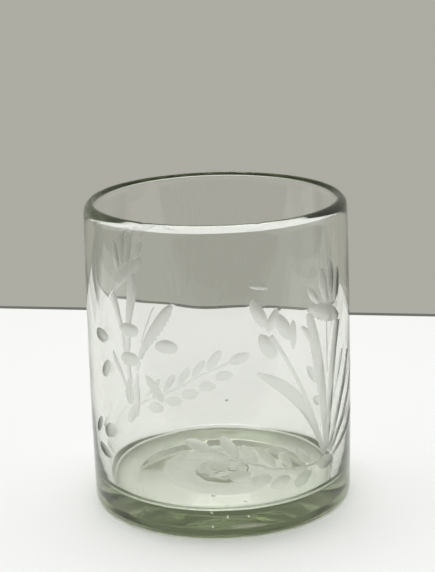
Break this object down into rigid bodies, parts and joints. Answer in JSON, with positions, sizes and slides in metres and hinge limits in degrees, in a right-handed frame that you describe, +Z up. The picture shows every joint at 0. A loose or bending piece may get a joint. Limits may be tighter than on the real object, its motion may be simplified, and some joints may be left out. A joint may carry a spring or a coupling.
{
  "type": "shot glass",
  "caption": "Small hand-blown tumbler with a heavy base and a wheel-cut pattern of flowers and leaves, for serving a short drink.",
  "frame": {"origin": "centre of the glass on the surface that it stands on", "axes": "+Z up along the axis of the glass; -Y is the front, so that one cut plant is 50 degrees to the right of the front and the other is opposite it"},
  "size_m": [0.0514, 0.0514, 0.06],
  "materials": {
    "clear_glass": "fire-polished, with ground matt cuts on the outside",
    "wad_glass": "glossy, snapped off and left rough"
  },
  "bodies": {
    "root": {"blown_body": "clear_glass", "pontil_wad": "wad_glass"}
  },
  "joints": []
}
